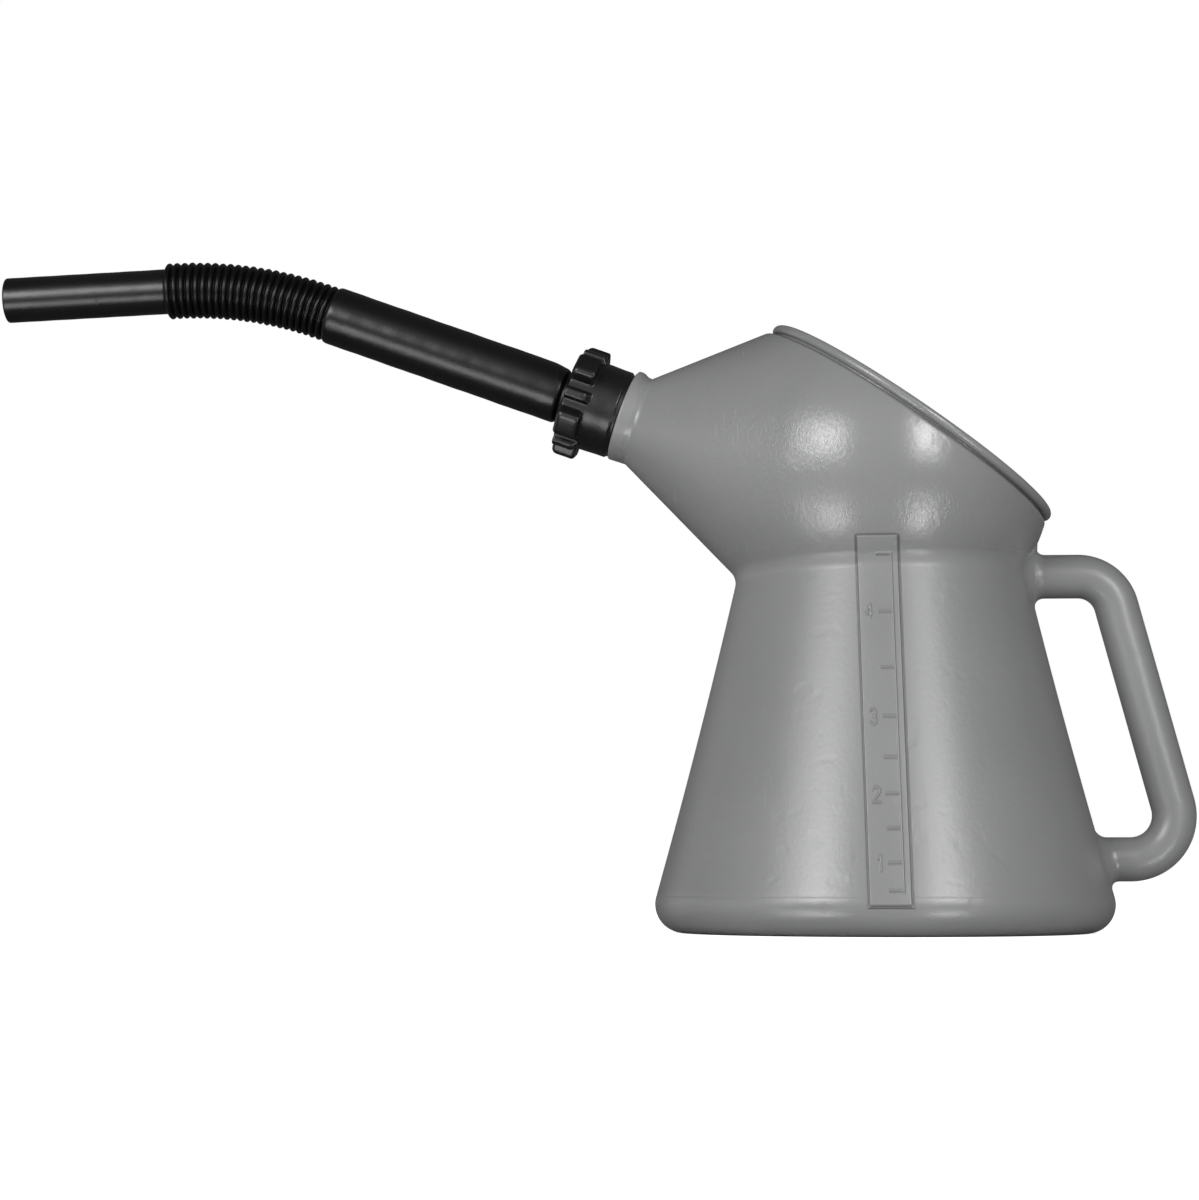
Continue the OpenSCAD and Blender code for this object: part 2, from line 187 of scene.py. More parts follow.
def jug_distance(p):
    """Distance from the jug's skin: measuring cone and dome joined by a hollow waist.
    The dome is a ball that turns into the horn's cone 56.6 degrees from the horn's axis. Under the rim
    the skin is cut by a steep cone and drawn in by a narrow groove. A cone's distance is the level one over
    its slant."""
    x, y, z = p[..., 0], p[..., 1], p[..., 2]
    side_slant, rim_slant, side_top = 1.034, 1.72, 225
    side = np.maximum((np.hypot(x, y) - side_radius(z)) / side_slant, z - side_top)
    from_centre = p - DOME_CENTRE
    far = np.linalg.norm(from_centre, axis=-1)
    angle = np.arccos(np.clip(from_centre @ HORN_AXIS / np.maximum(far, 1e-6), -1, 1))
    ball = DOME_R + 0.5 * smooth_step((1.4 - angle) / 0.45)
    dome = far * np.cos(np.clip(HORN_TOUCH - angle, 0, None)) - ball
    skin = round_join(side, dome, WAIST_R)
    from_mouth = p - MOUTH_CENTRE
    height = from_mouth @ MOUTH_UP
    out = np.linalg.norm(from_mouth - height[..., None] * MOUTH_UP, axis=-1)
    height = height + MOUTH_SAG * (from_mouth[..., 1] / np.maximum(out, 1)) ** 2
    under_rim = (out - (83.0 - 1.4 * (height + 2.4))) / rim_slant
    groove = 2.2 * np.exp(-((height + 2.75) / 0.9) ** 2)
    return round_both(skin, under_rim, 1.0) + groove


def meet_jug(start, direction, low, high, inset=0, steps=34):
    """Where lines meet the jug's skin drawn in by inset."""
    return meet(start, direction, low, high, lambda p: jug_distance(p) + inset, steps)


def body_rows(inset, turns):
    """Rings of the foot and side wall up to height 120, each drawn in by inset.
    The foot has a raised middle, a flat ring and a corner of radius 14 under a fine mould line."""
    lean = 0.276
    corner_x = side_radius(17.8) - FOOT_CORNER * math.cos(lean)
    a = np.linspace(-math.pi / 2, lean, 16)
    side = np.concatenate([[18.1, MOULD_LINE, 18.7, 19.2, 21], np.linspace(25, 120, 14)])
    radius = np.concatenate([[30, 60, 78, 81.7, 83.2, 88.2, 89.7 + inset * 0.4, 93.5],
                             corner_x + (FOOT_CORNER - inset) * np.cos(a), side_radius(side) - inset * 1.03])
    height = np.concatenate([[FOOT_RISE + inset] * 4, [3.5 + inset, 0.5 + inset, inset, inset],
                             FOOT_CORNER + (FOOT_CORNER - inset) * np.sin(a), side])
    if inset == 0:
        radius = radius - 0.1 * np.exp(-((height - MOULD_LINE) / 0.3) ** 2) * (radius > 100)
    return np.stack([radius[:, None] * np.cos(turns), radius[:, None] * np.sin(turns),
                     np.broadcast_to(height[:, None], (len(height), len(turns)))], axis=-1)


def mouth_point(out, height, turns):
    """Point round the mouth at a distance from its axis and a height over its plane, which sags at the sides."""
    out, height, turns = np.broadcast_arrays(np.asarray(out, float), height, turns)
    height = height - MOUTH_SAG * np.sin(turns) ** 2
    return (MOUTH_CENTRE + (out * np.cos(turns))[..., None] * MOUTH_OUT
            + (out * np.sin(turns))[..., None] * ACROSS + height[..., None] * MOUTH_UP)


def dome_rows(inset, turns, levels, rays):
    """Level rings up to the last level, found by level lines from the axis, then rings where lines from the
    dome's centre meet the skin. Those lines turn evenly from the last level ring to the ring under the rim."""
    flat = np.stack([np.cos(turns), np.sin(turns), 0 * turns], axis=-1)
    level = meet_jug(levels[:, None, None] * np.array([0, 0, 1.0]), flat, 40, 140, inset)
    low, top = unit(level[-1] - DOME_CENTRE), unit(mouth_point(*UNDER_RIM, turns) - DOME_CENTRE)
    between = np.arccos(np.sum(low * top, axis=-1))[:, None]
    part = rays[:, None, None]
    direction = (np.sin((1 - part) * between) * low + np.sin(part * between) * top) / np.sin(between)
    return np.concatenate([level, meet_jug(DOME_CENTRE, unit(direction), 20, 190, inset)])


def horn_rings(edge, neck_r, inset, shares):
    """Rings that change from the square edge of the horn's patch to the circle where the neck leaves the cone."""
    from_root = edge - NECK_ROOT
    angle = np.arctan2(from_root @ ACROSS, from_root @ SPOUT_UP)
    circle = meet_jug(round_spout(-32, neck_r, angle), SPOUT, 0, 60, inset)
    part = shares[:, None, None]
    direction = unit((1 - part) * unit(edge - DOME_CENTRE) + part * unit(circle - DOME_CENTRE))
    rings = meet_jug(DOME_CENTRE, direction, 20, 190, inset)
    rings[-1] = circle
    return rings, angle


def thread(s, angle, start, end):
    """Height of a right-handed thread: a rounded ridge once each turn, fading at both ends."""
    turn = (s / THREAD_PITCH + angle / (2 * math.pi)) % 1
    ridge = smooth_step(1.6 - np.abs(turn - 0.5) * 5)
    return ridge * smooth_step((s - start) / 2.5) * smooth_step((end - s) / 2)


def neck_rows(circle, angle):
    """Rings from the horn's end over the rounded collar and the thread, round the end and back down the bore."""
    lift = 0.2
    s0 = (circle - NECK_ROOT) @ SPOUT
    over = np.clip(np.cos(angle), 0, 1) ** 2
    rows = []
    for part in (0.04, 0.1, 0.2, 0.35, 0.5, 0.65, 0.8, 0.9):
        s = s0 + part * (COLLAR_END - s0)
        swell = 1.35 * over * smooth_step((s - 2.0) / 3.5) * smooth_step((9.6 - s) / 2.6)
        rows.append(round_spout(s, 22.42 + 0.25 * part + swell, angle, lift))
    for s, r in [(7.9, 22.6), (8.2, 22.3), (COLLAR_END, 21.9)]:
        rows.append(round_spout(s, r + 0.5 * over, angle, lift))
    threaded = [(s, THREAD_ROOT_R + 1.05 * thread(s, angle, 11, 29)) for s in np.linspace(9, 29.2, 70)]
    end = [(29.6, 18.7), (29.9, 18.4), (NECK_END, 18.1), (NECK_END, 17.6), (29.9, 17.3)]
    bore = [(s, NECK_BORE_R) for s in (29.5, 20, 8)]
    for s, r in [(COLLAR_END, 20.4), (8.35, 19.9)] + threaded + end + bore:
        rows.append(round_spout(s, r, angle))
    return np.stack(rows)


def make_jug_shell():
    """One closed skin: foot, cone, dome and horn outside, over the rim, and back down inside.
    A patch of the grid round the horn is left out on both skins and joined through the neck."""
    columns = 256
    half, first_ray, tall = 16, 10, 25  # the patch: columns on each side of -X, the ray it starts at, and its rows
    turns = around(columns)
    rays = np.concatenate([0.93 * np.linspace(0, 1, 46)[1:] ** 1.15, np.linspace(0.93, 1, 19)[1:]])
    levels = np.concatenate([[130, 140, 150, 158, 164, 168, 170.5], np.linspace(172, 184, 25),
                             np.linspace(185, 190, 6)])
    outside = np.concatenate([body_rows(0, turns), dome_rows(0, turns, levels, rays)])
    inside = np.concatenate([body_rows(WALL, turns), dome_rows(WALL, turns, levels[::3], rays)])
    a = np.radians(np.linspace(-118, 84, 19))
    lip = list(zip(RIM_LINE + RIM_ROLL * np.cos(a), RIM_ROLL * np.sin(a)))
    lip += [(79.6, 2.28), (78.6, 2.2), (78.0, 1.95), (77.65, 1.5),
            (77.5, 0.8), (77.5, -1.2), (77.7, -2.2), (78.3, -2.9)]
    rim = np.stack([mouth_point(out, height, turns) for out, height in lip])
    main = np.concatenate([outside, rim, inside[::-1]])
    rows = len(main)
    index = corner_numbers(rows, columns)
    left, right = columns // 2 - half, columns // 2 + half
    out_low = len(outside) - len(rays) + first_ray
    in_low = rows - 1 - (len(inside) - len(rays) + first_ray)

    def edge_of(low, high):
        """Corner numbers once round the patch, starting along its low side."""
        step = 1 if high > low else -1
        return np.concatenate([index[low, left:right], index[low:high:step, right],
                               index[high, right:left:-1], index[high:low:-step, left]])

    out_edge, in_edge = edge_of(out_low, out_low + tall), edge_of(in_low, in_low - tall)
    flat = main.reshape(-1, 3)
    shares = np.linspace(0, 1, 19)[1:]
    out_rings, angle = horn_rings(flat[out_edge], NECK_R, 0, shares)
    in_rings, _ = horn_rings(flat[in_edge], NECK_BORE_R, WALL, shares)
    tube = np.concatenate([out_rings, neck_rows(out_rings[-1], angle), in_rings[::-1]])
    tube_index = np.vstack([out_edge, corner_numbers(*tube.shape[:2], first=len(flat)), in_edge])
    keep = np.ones((rows - 1, columns), bool)
    keep[out_low:out_low + tall, left:right] = False
    keep[in_low - tall:in_low, left:right] = False
    quads = np.concatenate([grid_quads(index).reshape(rows - 1, columns, 4)[keep], grid_quads(tube_index)])
    centres = [[0, 0, FOOT_RISE], [0, 0, FOOT_RISE + WALL]]
    points = np.concatenate([flat, tube.reshape(-1, 3), centres])
    poles = np.concatenate([cap(index[0], len(points) - 2, True), cap(index[-1], len(points) - 1)])
    return put("jug_shell", points, quads, poles)


def path_of_handle(counts):
    """Middle line of the handle: upper arm, bend, leaning grip, bend and lower arm, all in the x-z plane.
    Returns distances along it, the ends of the five stretches, points and headings. Each stretch has a count
    of points, and more lie close together at the two roots."""
    lean = math.atan2(HANDLE_LOW[0] - HANDLE_TOP[0], HANDLE_TOP[1] - HANDLE_LOW[1])
    turn_top, turn_low = math.pi / 2 - lean, math.pi / 2 + lean
    c_top = np.array([HANDLE_TOP[0] - TOP_BEND * math.tan(turn_top / 2), HANDLE_TOP[1] - TOP_BEND])
    c_low = np.array([HANDLE_LOW[0] - LOW_BEND * math.tan(turn_low / 2), HANDLE_LOW[1] + LOW_BEND])
    out = np.array([math.cos(lean), math.sin(lean)])
    grip = np.linalg.norm((c_low + LOW_BEND * out) - (c_top + TOP_BEND * out))
    ends = np.cumsum([0, c_top[0] - HANDLE_START, TOP_BEND * turn_top, grip, LOW_BEND * turn_low,
                      c_low[0] - HANDLE_FINISH])
    roots = [np.linspace(11, 27, 60), np.linspace(ends[5] - 22, ends[5] - 6, 60)]
    t = np.unique(np.concatenate([np.linspace(a, b, n) for a, b, n in zip(ends[:-1], ends[1:], counts)] + roots))
    heading = (-turn_top * np.clip((t - ends[1]) / (ends[2] - ends[1]), 0, 1)
               - turn_low * np.clip((t - ends[3]) / (ends[4] - ends[3]), 0, 1))
    step = np.diff(t)
    half = (heading[1:] + heading[:-1]) / 2
    chord = step * np.sinc((heading[1:] - heading[:-1]) / 2 / math.pi)
    x = HANDLE_START + np.concatenate([[0], np.cumsum(chord * np.cos(half))])
    z = HANDLE_TOP[1] + np.concatenate([[0], np.cumsum(chord * np.sin(half))])
    return t, ends, np.stack([x, 0 * x, z], axis=-1), heading


def make_handle():
    """A round tube carried along the handle's line. Its radius grows by a quarter circle as it nears the jug's
    skin, so that both roots flow into the wall, and a fine line runs round the upper root. Rings deeper than the
    middle of the wall shrink to a point and are moved out to there, so that the handle ends inside it."""
    columns = 72
    t, ends, line, heading = path_of_handle((16, 34, 60, 44, 20))
    angle = -around(columns)
    out = np.stack([-np.sin(heading), 0 * heading, np.cos(heading)], axis=-1)
    spokes = np.cos(angle)[None, :, None] * out[:, None] + np.sin(angle)[None, :, None] * ACROSS

    def gap(radius):
        """Distance from the jug's skin at a radius round the line, less than 0 inside it."""
        return jug_distance(line[:, None] + radius[..., None] * spokes)

    def in_wall(p):
        """Moves points along x to the middle of the wall."""
        return meet_jug(p * [0, 1, 1] + [40, 0, 0], [1.0, 0, 0], 0, 90, WALL / 2)

    fillet = np.where(t < ends[2], TOP_FILLET, LOW_FILLET)[:, None] + SIDE_FILLET * np.sin(angle) ** 2
    low = np.full((len(t), columns), HANDLE_R)
    high = low + fillet
    for _ in range(22):
        radius = (low + high) / 2
        near = np.clip(gap(radius), 0, fillet)
        short = radius - HANDLE_R < fillet - np.sqrt(fillet ** 2 - (fillet - near) ** 2)
        low, high = np.where(short, radius, low), np.where(short, high, radius)
    arm = ((t < ends[1] - 2) | (t > ends[4] + 2))[:, None]
    radius = np.where(arm, radius, HANDLE_R)
    wider = radius + 14 * np.clip(-gap(radius), 0, 0.2) * arm
    radius = np.where(gap(wider) < -0.05, wider, radius)
    fine_line = 0.12 * np.exp(-((t - 20.0) / 0.3) ** 2)
    radius -= fine_line[:, None]
    count = len(t)
    row = np.arange(count)[:, None]
    deep = gap(radius) < -WALL / 2
    at_top, at_low = np.sum(deep & (row < count / 2), axis=0), np.sum(deep & (row > count / 2), axis=0)
    share = np.minimum((row + 1) / np.maximum(at_top, 1), (count - row) / np.maximum(at_low, 1))
    radius *= np.clip(share, 0, 1)
    points = line[:, None] + radius[..., None] * spokes
    points = np.where(deep[..., None], in_wall(points), points)
    index = corner_numbers(count, columns)
    all_points = np.concatenate([points.reshape(-1, 3), in_wall(line[[0, -1]])])
    caps = np.concatenate([cap(index[0], index.size, True), cap(index[-1], index.size + 1)])
    return put("jug_handle", all_points, grid_quads(index), caps)


def stroke(x, z, points, half_width):
    """Height 1 within half_width of a line through the points, falling to 0 over a third of a millimetre."""
    best = np.full(np.broadcast(x, z).shape, 1e9)
    for (ax, az), (bx, bz) in zip(points[:-1], points[1:]):
        dx, dz = bx - ax, bz - az
        part = np.clip(((x - ax) * dx + (z - az) * dz) / max(dx * dx + dz * dz, 1e-9), 0, 1)
        best = np.minimum(best, np.hypot(x - ax - part * dx, z - az - part * dz))
    return smooth_step((half_width + MARK_SOFT / 2 - best) / MARK_SOFT)


def arc(cx, cz, rx, rz, start, end, steps):
    """Points along part of an ellipse, with angles in degrees from +x."""
    a = np.radians(np.linspace(start, end, steps))
    return list(zip(cx + rx * np.cos(a), cz + rz * np.sin(a)))


def digit(number):
    """Middle lines of the numbers 1 to 4, in a box 1 wide and 1 high round the origin."""
    return {
        1: [(-0.35, 0.25), (0.1, 0.5), (0.1, -0.5)],
        2: arc(0, 0.22, 0.42, 0.28, 165, -20, 10) + [(-0.45, -0.5), (0.48, -0.5)],
        3: arc(0, 0.26, 0.4, 0.24, 150, -90, 10) + arc(0, -0.24, 0.44, 0.26, 90, -150, 11),
        4: [(0.22, -0.5), (0.22, 0.5), (-0.5, -0.2), (0.5, -0.2)],
    }[number]


def strip_relief(a, z):
    """Relief of the scale strip at a across it and z up it: a plate with a sunk border, an upright bar,
    a tick for every half litre and a number at each litre. Also a mask of painted shade: darker in the
    sunk border round the plate, and a painted shadow beside the marks from a shifted copy of them."""
    past_end = np.maximum(PLATE_LOW - z, z - PLATE_HIGH)
    outside = np.hypot(np.maximum(np.abs(a) - PLATE_HALF, 0), np.maximum(past_end, 0))
    plate = smooth_step((0.75 - outside) / 0.5)
    bar_place = 6.25
    bar = smooth_step((0.62 - np.abs(a - bar_place)) / 0.4)
    marks = bar * smooth_step((180.6 - z) / MARK_SOFT) * smooth_step((z - 20.2) / MARK_SOFT)
    for top in TICK_TOPS:
        tick = smooth_step((0.66 - np.abs(z - top + 0.6)) / 0.4)
        tick = tick * smooth_step((a + 1.0) / MARK_SOFT) * smooth_step((6.2 - a) / MARK_SOFT)
        marks = np.maximum(marks, tick)
    for number, x, middle, wide, high in NUMBERS:
        line = [(x + px * wide, middle + pz * high) for px, pz in digit(number)]
        marks = np.maximum(marks, stroke(a, z, line, 0.42))
    # Painted shade: a copy of the marks shifted two steps darkens the plate beside them as a painted shadow, and the
    # border outside the plate is darkened as painted shade in its groove.
    painted_mark_shadow = np.maximum(np.roll(marks, 2, 1), np.roll(marks, -2, 0)) * (1 - marks)
    painted_shade = np.maximum((1 - plate) * smooth_step((1.9 - outside) / 0.5), 0.4 * painted_mark_shadow)
    return 0.08 + 0.62 * plate + 0.65 * marks, painted_shade


def make_scale_strip():
    """A thin plate on the wall: points of a leaning strip are carried towards the jug until they meet its skin,
    lifted by the relief. The back lies inside the wall."""
    half = PLATE_HALF + BORDER
    across, up = np.meshgrid(np.linspace(-half, half, 96), np.linspace(PLATE_LOW - BORDER, PLATE_HIGH + BORDER, 430))
    middle = 0.0227 * side_radius(up) - 0.0224 * (up - 16.5) - 0.2
    start = np.stack([across + middle, np.zeros_like(up), up], axis=-1)
    lift, painted_shade = strip_relief(across, up)
    skin, above = [meet_jug(start, -ACROSS, 30, 130, inset, 26) for inset in (0, -1)]
    slope = (above - skin)[..., 1:2]
    front = skin + slope * lift[..., None] * ACROSS
    back = skin - slope * 0.9 * ACROSS
    index = corner_numbers(*lift.shape)
    behind = index + lift.size
    rim = np.concatenate([index[0, :-1], index[:-1, -1], index[-1, :0:-1], index[:0:-1, 0]])
    quads = np.concatenate([grid_quads(index, False), grid_quads(behind, False)[:, ::-1],
                            grid_quads(np.vstack([rim + lift.size, rim]))])
    piece = put("scale_strip_relief", np.concatenate([front.reshape(-1, 3), back.reshape(-1, 3)]), quads)
    # The point attribute carries the painted shade of the border and the painted shadow beside the marks; the back
    # gets none.
    values = np.concatenate([painted_shade.ravel(), np.zeros(painted_shade.size)]).astype(np.float32)
    piece.data.attributes.new("painted_shade", "FLOAT", "POINT").data.foreach_set("value", values)
    return piece


# ---------------------------------------------------------------- nut, tubes and hose

def nut_distance(s, x, y):
    """Distance from the nut's skin. A plain skirt, five lobes with flat sides and a well rounded front edge,
    and five small ribs whose rear ends slope down to the skirt, all joined by small hollow roundings."""
    r = np.hypot(x, y)
    turn = np.arctan2(y, x) + math.pi / 2
    sector = 2 * math.pi / NUT_LOBES
    rib_turn = (turn + sector / 2) % sector - sector / 2
    lobe_turn = turn % sector - sector / 2
    lobe_r, lobe_half, lobe_back = 28.5, 7.5, 25.1
    rib_r, rib_half, rib_back = 26.1, 2.9, 23.4
    end = s - NUT_END
    skirt_r = 21.4 + 0.9 * smooth_step((s - 10.0) / 0.5) + 0.25 * smooth_step((s - 14) / 8)
    skirt = round_both(r - skirt_r, end, 1.2)
    lobe = round_both((r + r * np.cos(lobe_turn)) / 2 - lobe_r, end, 3.0)
    lobe = round_both(lobe, (np.abs(r * np.sin(lobe_turn)) - lobe_half + 0.14 * (r - 22)) / 1.01, 1.9)
    lobe = round_both(lobe, lobe_back - s, 1.3)
    rib = round_both(r * np.cos(rib_turn) - rib_r, np.abs(r * np.sin(rib_turn)) - rib_half + 0.16 * (r - 22), 0.8)
    rib = round_both(rib, round_both(end + 0.4, ((r - 22.3) * 0.75 - (s - rib_back)) * 0.8, 0.7), 0.7)
    return round_join(round_join(skirt, lobe, 0.7), rib, 0.6)


def make_nut():
    """Lines from a point on the nut's axis meet its skin. They lie closer together at the lobes' flat sides and
    ends. The hole, the step behind the end wall and the threaded bore close the skin."""
    half = np.radians([0, 2.2, 4.2, 5.4, 6.0, 6.5, 7.0, 7.6, 8.6, 10.5, 13, 15.4, 16.6,
                       17.4, 18.1, 18.8, 19.6, 20.4, 21.2, 21.9, 22.6, 23.6, 25.5, 28.5, 32, 36])
    part = np.concatenate([half, 2 * half[-1] - half[-2:0:-1]])
    angle = np.concatenate([part + k * 2 * math.pi / NUT_LOBES for k in range(NUT_LOBES)]) - math.pi / 2
    stretches = [(-46.3, -43.6, 5), (-43.2, -21, 24), (-20, -16, 9), (-15.6, -9.8, 18), (-8, 3, 7),
                 (4.2, 18, 30), (20, 62, 12)]
    tilt = np.radians(np.concatenate([np.linspace(*stretch) for stretch in stretches]))[:, None, None]
    column = np.stack([0 * angle, np.cos(angle), np.sin(angle)], axis=-1)
    direction = np.cos(tilt) * column + np.sin(tilt) * np.array([1.0, 0, 0])
    met = meet(np.array([31.0, 0, 0]), direction, 4, 60, lambda p: nut_distance(*np.moveaxis(p, -1, 0)), 36)

    def plain(stations):
        """Round rings at stations of distance and radius."""
        return np.broadcast_to(np.array(stations)[:, None], (len(stations), len(angle), 2))

    bore_s = np.linspace(34.0, 12.0, 56)[:, None] + 0 * angle
    rings = np.concatenate([
        np.stack([met[..., 0], np.hypot(met[..., 1], met[..., 2])], axis=-1),
        plain([(NUT_END, 14.2), (37.0, 13.85), (36.6, 13.7), (34.6, 13.7), (34.3, 14.0), (34.3, 20.2)]),
        np.stack([bore_s, NUT_BORE_R - 0.45 * thread(bore_s, angle, 12.5, 33)], axis=-1),
        plain([(10.4, NUT_BORE_R), (9.0, NUT_BORE_R), (8.7, 20.6), (8.6, 20.9), (8.6, 21.2)])])
    return wheel("screw_nut", round_spout(rings[..., 0], rings[..., 1], angle))


def tube_skin(name, stations, point, columns=96):
    """A wall turned round a line from stations of distance and radius, out one way and back the other."""
    stations = np.array(stations, float)
    return wheel(name, point(stations[:, :1], stations[:, 1:], around(columns)[None]))


def corner(s, r, radius, start, end, steps):
    """Stations round a turned edge: centre s, r and angles in degrees from the direction along the line."""
    a = np.radians(np.linspace(start, end, steps))
    return [(s + radius * math.cos(v), r + radius * math.sin(v)) for v in a]


def make_spout_tube():
    """Flange, short glossy ring with a fine bead, rounded shoulder, long barrel that is faintly wavy, and
    far shoulder."""
    end, shoulder = HOSE_START, 2.6
    shoulder_r = TUBE_R - shoulder
    flange = [(32, 17.0), (32, 18.6)] + corner(32.5, 19.1, 0.5, 180, 90, 4) + corner(33.7, 19.1, 0.5, 90, 0, 4)
    ring = [(34.2, 14.0), (34.3, 13.5), (37.3, 13.4), (37.8, 13.6), (38.2, 13.65), (38.6, 13.4),
            (39.2, 13.2), (39.7, 13.0), (39.85, 12.7)]
    barrel = [(s, TUBE_R + 0.05 * math.sin(s * 0.21) + 0.03 * math.sin(s * 0.53 + 2))
              for s in np.linspace(44, end - 4, 60)]
    outside = (flange + ring + corner(TUBE_START + shoulder, shoulder_r, shoulder, 180, 90, 9) + barrel
               + corner(end - shoulder, shoulder_r, shoulder, 90, 0, 9) + [(end, 12.9), (end - 0.1, 12.75)])
    inside = [(s, TUBE_BORE_R) for s in (end - 1, 140, 80, 46)] + [(42.8, 11.8), (41.5, 10.7)]
    inside += [(s, RING_BORE_R) for s in (39, 34, 32.3)] + [(32, 10.8), (32, 14)]

    def shouldered(s, r, angle):
        """The upper side tapers towards the nut over the last 11 mm."""
        taper = 1.3 * smooth_step((51 - s) / 11.5) * smooth_step((s - TUBE_START) / 0.1)
        taper = taper * np.clip(np.cos(angle), 0, 1) ** 2
        return round_spout(s, r - np.where(r > 12.9, taper, 0), angle)

    return tube_skin("spout_barrel", outside + inside, shouldered)


def hose_frame(t):
    """Heading and middle point of the hose at distance t: straight, an even bend, straight again."""
    straight = HOSE_STRAIGHT_RIBS * HOSE_PITCH
    curved = (HOSE_RIBS - 2 * HOSE_STRAIGHT_RIBS) * HOSE_PITCH
    bend_r = curved / HOSE_BEND
    turn = HOSE_BEND * np.clip((t - straight) / curved, 0, 1)
    past = np.maximum(t - straight - curved, 0)
    down = bend_r * (1 - np.cos(turn)) + past * np.sin(turn)
    along = np.minimum(t, straight) + bend_r * np.sin(turn) + past * np.cos(turn)
    return turn, down, along


def round_hose(t, r, angle):
    """Point at distance t along the hose and r from its middle; the hose bends downwards from the tube's line."""
    turn, down, along = hose_frame(t)
    side = r * np.cos(angle)
    s = HOSE_START + along + side * np.sin(turn)
    up = side * np.cos(turn) - down
    return (NECK_ROOT + s[..., None] * SPOUT + up[..., None] * SPOUT_UP
            + np.broadcast_to(r * np.sin(angle), s.shape)[..., None] * ACROSS)


def make_hose():
    """Rounded ribs 3.71 apart with narrow valleys: the radius is the valley's plus a flattened sine arch.
    A plain cuff runs into the tube at one end and the bore closes the wall."""
    steps = 14
    t = np.arange(HOSE_RIBS * steps + 1) * HOSE_PITCH / steps
    crest = np.abs(np.sin(math.pi * ((t / HOSE_PITCH) % 1))) ** 0.72
    uneven = 0.06 * np.sin(np.floor(t / HOSE_PITCH) * 2.4)
    outside = np.stack([t, VALLEY_R + (RIB_RISE + uneven) * crest], axis=-1)
    cuff = [[-13.9, 12.1], [-13.6, 12.4], [-6, 12.45], [-0.4, 12.45], [-0.15, 12.1]]
    back = np.arange(HOSE_RIBS * 3, -1, -1) * HOSE_PITCH / 3
    inside = np.stack([back, HOSE_BORE_R + 0 * back], axis=-1)
    stations = np.concatenate([cuff, outside, inside, [[-13.8, HOSE_BORE_R]]])
    return tube_skin("corrugated_hose", stations, round_hose, 80)


def make_outlet():
    """Straight barrel that comes out of the last rib, with a plain cut tip. The spigot runs back inside the
    hose."""
    spigot = [(-12, 10.2), (-11.6, 10.6), (-0.9, 10.6), (-0.8, 10.9), (-0.8, 11.3), (-0.6, 11.42), (0.6, 11.42)]
    barrel = [(s, OUTLET_R + 0.03 * math.sin(s * 0.4)) for s in np.linspace(3.2, 80.4, 40)]
    tip = corner(82.4, OUTLET_R - 1, 1.0, 90, 0, 7) + corner(82.4, 10.2, 0.9, -10, -60, 4)
    inside = [(s, OUTLET_BORE_R) for s in (80.9, 40, 0)] + [(-11.8, 9.5)]
    stations = [(HOSE_LENGTH + s, r) for s, r in spigot + barrel + tip + inside]
    return tube_skin("outlet_barrel", stations, round_hose)


# ---------------------------------------------------------------- materials

def new_group(name, inputs, outputs):
    """Shader node group with float inputs given as name and value, and float outputs given by name."""
    group = bpy.data.node_groups.new(name, "ShaderNodeTree")
    for label, value in inputs:
        socket = group.interface.new_socket(name=label, in_out="INPUT", socket_type="NodeSocketFloat")
        socket.default_value = value
    for label in outputs:
        group.interface.new_socket(name=label, in_out="OUTPUT", socket_type="NodeSocketFloat")
    return group, group.nodes.new("NodeGroupInput"), group.nodes.new("NodeGroupOutput")


def use_group(tree, group, **values):
    """Places a node group in a material with its own values, and returns its outputs."""
    node = tree.nodes.new("ShaderNodeGroup")
    node.node_tree = group
    for label, value in values.items():
        node.inputs[label].default_value = value
    return node.outputs


def maths(tree, operation, first, second):
    """One Math node; numbers go on its sockets and outputs are linked."""
    node = tree.nodes.new("ShaderNodeMath")
    node.operation = operation
    for socket, value in zip(node.inputs, (first, second)):
        if isinstance(value, (int, float)):
            socket.default_value = value
        else:
            tree.links.new(value, socket)
    return node.outputs[0]


def product(tree, first, *others):
    """Values multiplied one after another."""
    for other in others:
        first = maths(tree, "MULTIPLY", first, other)
    return first


def total(tree, first, *others):
    """Values added one after another."""
    for other in others:
        first = maths(tree, "ADD", first, other)
    return first


def noise(tree, vector, scale, detail=2.0, roughness=0.5, distortion=0.0):
    """Noise texture on a vector with fixed settings."""
    node = tree.nodes.new("ShaderNodeTexNoise")
    node.inputs["Scale"].default_value = scale
    node.inputs["Detail"].default_value = detail
    node.inputs["Roughness"].default_value = roughness
    node.inputs["Distortion"].default_value = distortion
    tree.links.new(vector, node.inputs["Vector"])
    return node.outputs["Fac"]


def stretched(tree, place, turn, scale):
    """A vector turned and stretched by a Mapping node."""
    node = tree.nodes.new("ShaderNodeMapping")
    node.inputs["Rotation"].default_value = turn
    node.inputs["Scale"].default_value = scale
    tree.links.new(place, node.inputs["Vector"])
    return node.outputs["Vector"]


def split(tree, vector):
    """The X, Y and Z of a vector."""
    node = tree.nodes.new("ShaderNodeSeparateXYZ")
    tree.links.new(vector, node.inputs[0])
    return node.outputs


def ramp(tree, value, low, high):
    """Map Range from low and high to 0 and 1, held at both ends."""
    node = tree.nodes.new("ShaderNodeMapRange")
    node.inputs["From Min"].default_value = low
    node.inputs["From Max"].default_value = high
    tree.links.new(value, node.inputs["Value"])
    return node.outputs["Result"]


